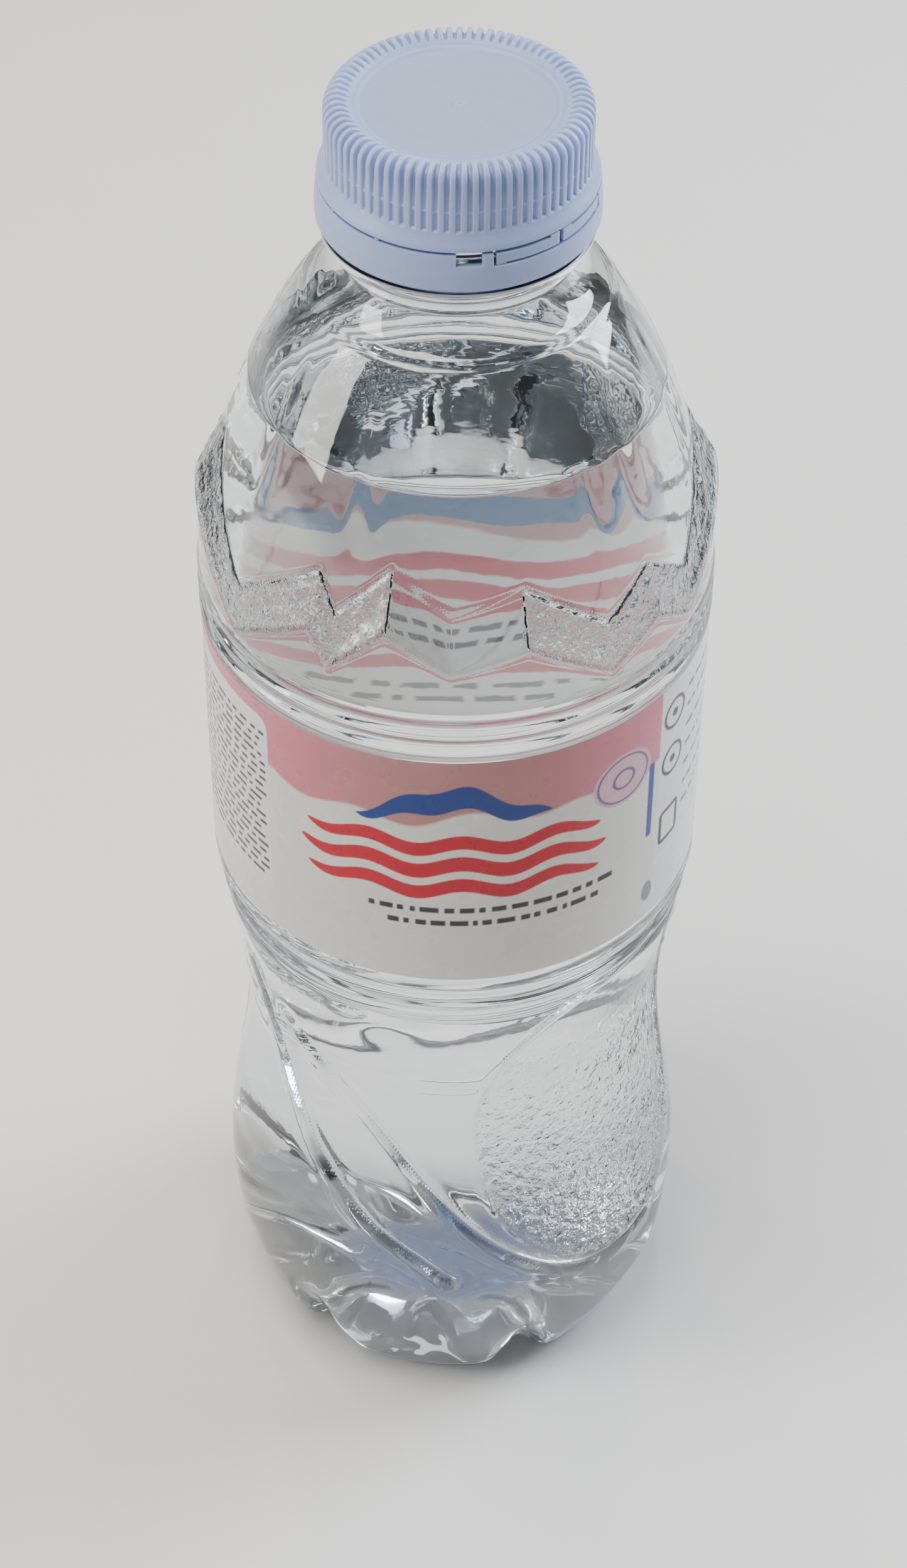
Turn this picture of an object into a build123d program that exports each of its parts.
"""A 50 cl PET water bottle with a wrapped label and a tethered screw cap.

The bottle stands on the plane Z = 0 with its axis on Z. The front of the label faces -Y.
Angles round the axis are counted from -Y towards +X. Millimetres.
"""

import os
from math import cos, degrees, pi, radians, sin

from build123d import *

# ---- blown body --------------------------------------------------------------
WALL = 0.35
WATER_GAP = 0.25
FILL_LEVEL = 166.7
LABEL_LOW = 92.0
LABEL_HIGH = 130.7
PANEL_R = 32.4  # straight wall that the label is wrapped round
PANEL_LOW, PANEL_HIGH = 91.4, 131.4
BEAD_OUT = 0.35
SHOULDER_LOW = 139.0  # where the shoulder starts to lean in
NECK_LOW = 184.0
NECK_FOOT_R = 13.9  # where the shoulder runs into the neck
FOOT_R = 24.5  # middle of the ring that the feet stand on
FOOT_HALF = 1.2  # half the width of each foot's flat pad
LOBES = 6
VALLEY_ANGLE = 21.0  # one of the valleys between two lobes of the base
VALLEY_R = 3.6
VALLEY_ENDS = (9.0, 1.0), (34.0, 0.2)  # radius and height where a valley starts and ends
DOME_HIGH = 7.0  # push-up in the middle of the base
DOME_FLAT_R = 2.5
GROOVE_R = 1.7  # radius of the round tool that each groove is cut with
GROOVE_OUT = 0.95  # how far a groove's centre line stands off the wall

# ---- neck finish -------------------------------------------------------------
BORE_R = 12.2
NECK_R = 13.3
NECK_TOP = 201.9
NECK_BLANK_R = 8.0  # inside of the blank, which the throat is bored out of
RING_R = 16.1  # support ring
RING_LOW, RING_HIGH = 186.6, 187.9
BEAD_R = 14.3  # bead that holds the tamper band down
BEAD_LOW, BEAD_HIGH = 191.7, 193.0
THREAD_R = 14.05
THREAD_PITCH = 3.2
THREAD_TURNS = 1.2
THREAD_LOW = 195.0
RIDGE = 0.55  # half the width of a thread ridge at its root
RIDGE_TIP = 0.55  # share of that width left at the tip
RIDGE_SUNK = 0.3  # how deep a ridge is set into its wall

# ---- closure -----------------------------------------------------------------
CAP_LIP = 194.0  # lower edge of the cap
CAP_TOP = 204.1
PANEL_TOP = 202.9  # flat top panel
TOP_PANEL_R = 11.3
TOP_RING_HIGH = 203.2  # fine ring round the panel, from which the ribs rise
CAP_INSIDE = 202.0  # underside of the top plate
CAP_BORE_R = 14.3
CAP_R = 15.5  # over the ribs
CAP_CURVE = 1.8  # rounding between the side and the top
LIP_R = 16.4
RIB_COUNT = 75
RIB_LOW = 196.2
RIB_DEPTH = 0.5
RIB_WIDTH = 0.6
TOP_RING_STEP, TOP_RING_WIDTH = 0.2, 0.5
CAP_THREAD_R = 13.5
CAP_THREAD_LOW = 196.6
PLUG_R = 12.1  # plug seal, which stands in the bore
PLUG_WALL = 0.8
PLUG_LOW = 199.4
PLUG_SUNK = 0.2  # how far the plug runs up into the top plate

BAND_LOW, BAND_HIGH = 188.8, 193.75
BAND_R = 16.7
BAND_TOP_R = 16.45
BAND_WALL = 0.9
FLAP_COUNT = 12
FLAP_TIP_R = 13.65
FLAP_WALL = 0.45
FLAP_GAP = 2.2
FLAP_TIP_TOP = 191.4
FLAP_ROOT = 0.4  # how far the foot of a flap reaches in from the band
BRIDGE_COUNT = 10
BRIDGE_HALF_ANGLE = 1.0
BRIDGE_CLEAR = 8.0  # from the end of the tether pocket to the first bridge
BRIDGE_SPREAD = 242.0  # from the first bridge to the last, clear of pocket and window
BRIDGE_INSET, BRIDGE_WIDTH = 0.1, 0.35
TETHER_ANGLE = 45.0  # middle of the tether
TETHER_HALF = 31.0  # half the pocket that the two arms lie in
TETHER_GAP_ANGLE = 1.2
ARM_LOW, ARM_HIGH = 192.4, 193.7
ARM_FOOT_HALF = 2.0  # where an arm grows out of the floor of its pocket
POCKET_LOW = 192.1
RISER_HALF = 2.2
SLIVER = 0.02  # play at the weld of each arm and bridge, so that the cap can lift away
WINDOW_ANGLE = 4.4
WINDOW_HALF = 5.2
WINDOW_LOW = 192.3

# ---- label -------------------------------------------------------------------
GLUE = 0.1
FILM = 0.1
SEAM_ANGLE = 95.0
STRIP_WIDTH = 4.0
STRIP_APART = 9.0
STRIP_MARGIN = 1.5  # bare edge above and below each strip
STRIP_PLAY = 0.01  # between a strip and the faces on both sides of it

# Radius and height of the outside. The feet, beads and neck are drawn apart.
LOWER_BODY = [
    (29.2, 4.6),
    (31.9, 13.0),
    (32.7, 24.0),
    (31.9, 36.0),
    (30.1, 46.0),
    (29.0, 57.0),
    (29.3, 66.0),
    (30.5, 75.0),
    (31.4, 82.0),
]
SHOULDER = [
    (32.4, SHOULDER_LOW),
    (30.9, 148.0),
    (28.9, 156.0),
    (25.2, 166.5),
    (19.6, 177.0),
    (NECK_FOOT_R, NECK_LOW),
]

# Angle and height along each groove of the lower body. Each repeats after half a turn.
SWIRL_LONG = [(-63, 75), (-52, 58), (-41, 48), (-30, 42), (-19, 36.6), (-9, 32.7), (0, 28.3)]
SWIRL_SHORT = [(-47, 70), (-33, 62.7), (-19, 54.7), (-6, 45.7), (7, 37.3), (18, 31.3)]
DROP_EDGE = [
    (69, 80),
    (45, 82),
    (25, 79),
    (11, 69.5),
    (5.5, 60),
    (6.5, 51),
    (12, 41.8),
    (22, 33.5),
    (36, 27),
    (50, 24.3),
    (63, 25.6),
]
GROOVES = [SWIRL_LONG, SWIRL_SHORT, DROP_EDGE]

# Upper edge of the zigzag step: angle and height. It repeats after half a turn.
ZIGZAG = [
    (-57, 146.0),
    (-33, 154.8),
    (-28, 150.0),
    (-15, 157.5),
    (-1, 152.0),
    (16, 155.0),
    (36, 147.5),
    (49, 152.0),
    (63, 147.0),
    (79, 155.0),
    (95, 158.5),
    (108, 153.0),
]
FACET_DROP = 7.5  # how far a facet runs down
FACET_OUT = 2.9  # and how far out
FACET_EDGE_R = 29.5  # radius of its upper edge
FACET_START_R = 22.0
STEP_TOP = 163.0
STEP_INNER_R = 23.0  # the ring of the step reaches this far in, where the body swallows it
CUT_ABOVE, CUT_OUT = 40.0, 30.0  # a facet's cutter clears the step by this much
CUT_LAP = 1.6  # and overlaps its neighbours by this ratio


def turned(angle, radius, height):
    """Point at an angle counted from -Y towards +X."""
    return Vector(radius * sin(radians(angle)), -radius * cos(radians(angle)), height)


def facing(angle, radius, height):
    """Plane at that point whose normal points outwards and whose X runs round to +angle."""
    out = turned(angle, 1, 0)
    return Plane(turned(angle, radius, height), x_dir=(-out.Y, out.X, 0), z_dir=out)


def ring_of(points):
    """Solid of revolution about Z from a closed outline of (radius, height) points."""
    with BuildPart() as ring:
        with BuildSketch(Plane.XZ):
            with BuildLine():
                Polyline(*points, close=True)
            make_face()
        revolve(axis=Axis.Z)
    return ring.part


def sector(angle, half, inner_r, outer_r, low, high):
    """Curved block: part of a ring, centred on an angle and reaching half to each side."""
    near = [turned(a, inner_r, 0) for a in (angle - half, angle, angle + half)]
    far = [turned(a, outer_r, 0) for a in (angle - half, angle, angle + half)]
    with BuildPart() as block:
        with BuildSketch(Plane.XY.offset(low)):
            with BuildLine():
                ThreePointArc(*near)
                Line(near[2], far[2])
                ThreePointArc(*far)
                Line(far[0], near[0])
            make_face()
        extrude(amount=high - low)
    return block.part


def thread(root_r, tip_r, low):
    """Right-handed thread ridge between two radii. It may stand outwards or inwards."""
    sunk = root_r - RIDGE_SUNK if tip_r > root_r else root_r + RIDGE_SUNK
    tip = RIDGE * RIDGE_TIP
    with BuildPart() as ridge:
        with BuildLine() as path:
            Helix(THREAD_PITCH, THREAD_PITCH * THREAD_TURNS, sunk, center=(0, 0, low))
        start = Plane(path.line @ 0, x_dir=(1, 0, 0), z_dir=path.line % 0)
        with BuildSketch(start):
            with BuildLine():
                Polyline(
                    (0, -RIDGE),
                    (tip_r - sunk, -tip),
                    (tip_r - sunk, tip),
                    (0, RIDGE),
                    close=True,
                )
            make_face()
        sweep(is_frenet=True)
    return ridge.part


def body_profile(inset):
    """Half section of the blown body, moved in by inset and closed along the axis."""
    foot_in, foot_out = FOOT_R - FOOT_HALF, FOOT_R + FOOT_HALF
    lower = [(r - inset, z) for r, z in LOWER_BODY]
    shoulder = [(r - inset, z) for r, z in SHOULDER]
    panel = PANEL_R - inset
    bead = panel + BEAD_OUT
    dome = DOME_HIGH + inset
    with BuildLine() as outline:
        Line((0, dome), (DOME_FLAT_R, dome))
        Spline(
            (DOME_FLAT_R, dome),
            (14.0, 4.6 + inset),
            (foot_in, inset),
            tangents=[(1, 0), (1, -0.25)],
        )
        Line((foot_in, inset), (foot_out, inset))
        Spline((foot_out, inset), *lower, tangents=[(1, 0.35), (0.15, 1)])
        # two rings and a bead below the label
        Polyline(
            lower[-1],
            (panel - 0.7, 83.4),
            (panel - 1.3, 84.6),
            (panel - 0.3, 86.2),
            (panel - 0.8, 87.6),
            (bead, 89.4),
            (bead, 90.4),
            (panel, PANEL_LOW),
        )
        Line((panel, PANEL_LOW), (panel, PANEL_HIGH))
        # two beads above the label
        Polyline(
            (panel, PANEL_HIGH),
            (bead, 132.3),
            (bead, 133.0),
            (panel - 0.1, 134.0),
            (bead, 135.1),
            (bead, 135.8),
            (panel - 0.1, 137.0),
            shoulder[0],
        )
        Spline(*shoulder, tangents=[(0, 1), (-0.35, 1)])
        Line(shoulder[-1], (0, NECK_LOW))
        Line((0, NECK_LOW), (0, dome))
    return outline.line


def step_ring(inset):
    """Ring that fills out the shoulder to nearly the full radius, for the zigzag facets."""
    return ring_of(
        [
            (SHOULDER[0][0] - inset, SHOULDER_LOW),
            (PANEL_R - inset, 150.0),
            (31.6 - inset, 155.0),
            (30.2 - inset, 159.5),
            (27.6 - inset, STEP_TOP),
            (STEP_INNER_R, STEP_TOP),
            (STEP_INNER_R, SHOULDER_LOW),
        ]
    )


def zigzag_cutter(inset):
    """What lies above the zigzag: one slanting prism for each facet."""
    turn = [(a + half, z) for half in (0, 180) for a, z in ZIGZAG]
    turn.append((turn[0][0] + 360, turn[0][1]))
    rise = (FACET_EDGE_R - FACET_START_R) * FACET_DROP / FACET_OUT
    with BuildPart() as cutter:
        for (a0, z0), (a1, z1) in zip(turn, turn[1:]):
            half = radians(a1 - a0) / 2
            reach = FACET_START_R * half * CUT_LAP
            slope = (z1 - z0) / (2 * FACET_EDGE_R * sin(half))
            middle = (z0 + z1) / 2 + rise
            plane = facing((a0 + a1) / 2, FACET_START_R - inset, 0)
            out = plane.z_dir * FACET_OUT - Vector(0, 0, FACET_DROP)
            with BuildSketch(plane, mode=Mode.PRIVATE) as face:
                with BuildLine():
                    Polyline(
                        (-reach, middle - slope * reach),
                        (reach, middle + slope * reach),
                        (reach, STEP_TOP + CUT_ABOVE),
                        (-reach, STEP_TOP + CUT_ABOVE),
                        close=True,
                    )
                make_face()
            extrude(face.sketch, amount=CUT_OUT, dir=out.normalized())
    return cutter.part


def valley_cutter(inset):
    """Radial troughs between the lobes of the base."""
    start, end = VALLEY_ENDS
    with BuildPart() as cutter:
        for k in range(LOBES):
            angle = VALLEY_ANGLE + k * 360 / LOBES
            inner = turned(angle, *start)
            along = turned(angle, *end) - inner
            with BuildSketch(Plane(inner, z_dir=along)):
                Circle(VALLEY_R + inset)
            extrude(amount=along.length)
    return cutter.part


def wall_radius(height):
    """Radius of the lower body at a height, read between the driving points."""
    for (r0, z0), (r1, z1) in zip(LOWER_BODY, LOWER_BODY[1:]):
        if height <= z1:
            return r0 + (r1 - r0) * (height - z0) / (z1 - z0)
    return LOWER_BODY[-1][0]


def groove_cutter(course, inset):
    """Round groove along a course, and its twin half a turn on."""
    with BuildPart() as cutter:
        for half in (0, 180):
            points = [turned(a + half, wall_radius(z) + GROOVE_OUT, z) for a, z in course]
            with BuildLine() as path:
                Spline(*points)
            with BuildSketch(Plane(path.line @ 0, z_dir=path.line % 0)):
                Circle(GROOVE_R + inset)
            sweep()
    return cutter.part


def envelope(inset):
    """The blown body as a solid, with every surface moved in by inset."""
    with BuildPart() as body:
        with BuildSketch(Plane.XZ):
            add(body_profile(inset))
            make_face()
        revolve(axis=Axis.Z)
        add(step_ring(inset) - zigzag_cutter(inset))
        add(valley_cutter(inset), mode=Mode.SUBTRACT)
        for course in GROOVES:
            add(groove_cutter(course, inset), mode=Mode.SUBTRACT)
    return body.part


def save(piece, name):
    """Label a finished piece and write its file."""
    piece.label = name
    export_step(piece, f"parts/{name}.step")


os.makedirs("parts", exist_ok=True)

# ---- the bottle: blown body, neck finish and thread, in one piece --------------
neck_blank = ring_of(
    [
        (NECK_BLANK_R, NECK_LOW),
        (NECK_FOOT_R, NECK_LOW),
        (NECK_FOOT_R, RING_LOW - 0.6),
        (RING_R - 0.5, RING_LOW),
        (RING_R, RING_LOW + 0.3),
        (RING_R, RING_HIGH - 0.2),
        (RING_R - 0.3, RING_HIGH),
        (NECK_R, RING_HIGH + 0.2),
        (NECK_R, BEAD_LOW),
        (BEAD_R, BEAD_LOW),
        (BEAD_R, BEAD_LOW + 0.3),
        (NECK_R, BEAD_HIGH),
        (NECK_R, NECK_TOP - 0.3),
        (NECK_R - 0.3, NECK_TOP),
        (NECK_BLANK_R, NECK_TOP),
    ]
)
throat_r = NECK_FOOT_R - WALL
throat = ring_of(
    [
        (0, NECK_LOW - 0.2),
        (throat_r, NECK_LOW - 0.2),
        (throat_r, NECK_LOW),
        (BORE_R, RING_HIGH),
        (BORE_R, NECK_TOP + 1),
        (0, NECK_TOP + 1),
    ]
)
with BuildPart() as bottle:
    add(envelope(0))
    add(neck_blank)
    add(envelope(WALL), mode=Mode.SUBTRACT)
    add(throat, mode=Mode.SUBTRACT)
    add(thread(NECK_R, THREAD_R, THREAD_LOW))
save(bottle.part, "bottle")

# ---- the water, just clear of the wall -----------------------------------------
with BuildPart() as water:
    add(envelope(WALL + WATER_GAP))
    split(bisect_by=Plane.XY.offset(FILL_LEVEL), keep=Keep.BOTTOM)
save(water.part, "water")

# ---- the label film, and the glue under its seam --------------------------------
label_r = PANEL_R + GLUE
with BuildPart() as label:
    with BuildSketch(Plane.XY.offset(LABEL_LOW)):
        Circle(label_r + FILM)
        Circle(label_r, mode=Mode.SUBTRACT)
    extrude(amount=LABEL_HIGH - LABEL_LOW)
save(label.part, "label")

strip_half = degrees(STRIP_WIDTH / 2 / label_r)
strip_wall = (PANEL_R + STRIP_PLAY, label_r - STRIP_PLAY)
strip_ends = (LABEL_LOW + STRIP_MARGIN, LABEL_HIGH - STRIP_MARGIN)
for side, shift in (("left", -STRIP_APART / 2), ("right", STRIP_APART / 2)):
    angle = SEAM_ANGLE + degrees(shift / label_r)
    with BuildPart() as glue_strip:
        add(sector(angle, strip_half, *strip_wall, *strip_ends))
    save(glue_strip.part, "label_glue_" + side)

# ---- the cap: ribbed shell, top plate, plug seal and thread ---------------------
# The grooves between the ribs go down to the core.
core = CAP_R - RIB_DEPTH
bend_r, bend_z = CAP_R - CAP_CURVE, CAP_TOP - CAP_CURVE
core_bend = CAP_CURVE - RIB_DEPTH
middle_of_bend = sin(pi / 4)
top_ring_r = TOP_PANEL_R + TOP_RING_STEP
with BuildPart() as rib:
    with BuildSketch(Plane.XZ):
        with BuildLine():
            Polyline(
                (bend_r, CAP_TOP),
                (top_ring_r + TOP_RING_WIDTH + 0.2, TOP_RING_HIGH - 0.1),
                (bend_r, CAP_INSIDE + 0.3),
                (CAP_BORE_R + 0.25, CAP_INSIDE - 0.7),
                (CAP_BORE_R + 0.45, RIB_LOW + 0.1),
                (core + 0.1, RIB_LOW + 0.1),
                (CAP_R, RIB_LOW + 0.6),
                (CAP_R, bend_z),
            )
            ThreePointArc(
                (CAP_R, bend_z),
                (bend_r + CAP_CURVE * middle_of_bend, bend_z + CAP_CURVE * middle_of_bend),
                (bend_r, CAP_TOP),
            )
        make_face()
    extrude(amount=RIB_WIDTH / 2, both=True)
with BuildPart() as cap:
    with BuildSketch(Plane.XZ):
        with BuildLine():
            Polyline(
                (0, PANEL_TOP),
                (TOP_PANEL_R, PANEL_TOP),
                (top_ring_r, TOP_RING_HIGH),
                (top_ring_r + TOP_RING_WIDTH, TOP_RING_HIGH),
                (bend_r, bend_z + core_bend),
            )
            ThreePointArc(
                (bend_r, bend_z + core_bend),
                (bend_r + core_bend * middle_of_bend, bend_z + core_bend * middle_of_bend),
                (core, bend_z),
            )
            Polyline(
                (core, bend_z),
                (core, RIB_LOW),
                (core + 0.4, RIB_LOW - 0.7),
                (LIP_R, CAP_LIP + 0.6),
                (LIP_R, CAP_LIP),
                (CAP_BORE_R, CAP_LIP),
                (CAP_BORE_R, CAP_INSIDE),
                (0, CAP_INSIDE),
                (0, PANEL_TOP),
            )
        make_face()
    revolve(axis=Axis.Z)
    # ribs, which run up the side and over the rounded edge
    with PolarLocations(0, RIB_COUNT):
        add(rib.part)
    # plug seal that stands in the bore of the neck
    with BuildSketch(Plane.XY.offset(PLUG_LOW)):
        Circle(PLUG_R)
        Circle(PLUG_R - PLUG_WALL, mode=Mode.SUBTRACT)
    extrude(amount=CAP_INSIDE - PLUG_LOW + PLUG_SUNK)
    add(thread(CAP_BORE_R, CAP_THREAD_R, CAP_THREAD_LOW))
save(cap.part, "cap")

# ---- the tamper band, with a ring of flaps folded in under the bead -------------
band_inner = BAND_R - BAND_WALL
flap_root_r = band_inner - FLAP_ROOT
with BuildPart() as flaps:
    add(
        ring_of(
            [
                (band_inner + 0.2, BAND_LOW + 0.1),
                (band_inner + 0.2, BAND_LOW + 0.1 + FLAP_WALL),
                (FLAP_TIP_R + FLAP_WALL, FLAP_TIP_TOP),
                (FLAP_TIP_R, FLAP_TIP_TOP - 0.15),
                (flap_root_r, BAND_LOW + 0.1),
            ]
        )
    )
    with PolarLocations((FLAP_TIP_R + flap_root_r) / 2 - 0.1, FLAP_COUNT):
        with Locations((0, 0, BAND_LOW + 2)):
            Box(band_inner - FLAP_TIP_R, FLAP_GAP, 8, mode=Mode.SUBTRACT)
with BuildPart() as tamper_band:
    add(
        ring_of(
            [
                (band_inner, BAND_LOW),
                (BAND_R - 0.25, BAND_LOW),
                (BAND_R, BAND_LOW + 0.4),
                (BAND_R, BAND_LOW + 2.2),
                (BAND_TOP_R, BAND_HIGH),
                (band_inner, BAND_HIGH),
            ]
        )
    )
    add(flaps.part)
    past = (flap_root_r, BAND_R + 1)
    pocket = sector(TETHER_ANGLE, TETHER_HALF, *past, POCKET_LOW, BAND_HIGH + 1)
    add(pocket, mode=Mode.SUBTRACT)
    window = sector(WINDOW_ANGLE, WINDOW_HALF, *past, WINDOW_LOW, BAND_HIGH + 1)
    add(window, mode=Mode.SUBTRACT)
save(tamper_band.part, "tamper_band")

# ---- the tether: an arm from each end of the pocket, turning up to the cap ------
arm_half = (TETHER_HALF - TETHER_GAP_ANGLE) / 2
wall = (band_inner, BAND_TOP_R)
for side, sign in (("left", -1), ("right", 1)):
    middle = TETHER_ANGLE + sign * arm_half
    foot = TETHER_ANGLE + sign * (TETHER_HALF - TETHER_GAP_ANGLE - ARM_FOOT_HALF)
    riser = TETHER_ANGLE + sign * (TETHER_GAP_ANGLE + RISER_HALF)
    with BuildPart() as tether:
        add(sector(middle, arm_half - TETHER_GAP_ANGLE, *wall, ARM_LOW, ARM_HIGH))
        add(sector(foot, ARM_FOOT_HALF, *wall, POCKET_LOW, ARM_HIGH))
        add(sector(riser, RISER_HALF, *wall, ARM_LOW, CAP_LIP - SLIVER))
    save(tether.part, "tether_" + side)

# ---- the thin bridges that break when the cap is first turned -------------------
bridge_outer = BAND_TOP_R - BRIDGE_INSET
bridge_wall = (bridge_outer - BRIDGE_WIDTH, bridge_outer)
with BuildPart() as bridges:
    for k in range(BRIDGE_COUNT):
        along = k / (BRIDGE_COUNT - 1) * BRIDGE_SPREAD
        angle = TETHER_ANGLE + TETHER_HALF + BRIDGE_CLEAR + along
        add(sector(angle, BRIDGE_HALF_ANGLE, *bridge_wall, BAND_HIGH, CAP_LIP - SLIVER))
save(bridges.part, "breakaway_bridges")
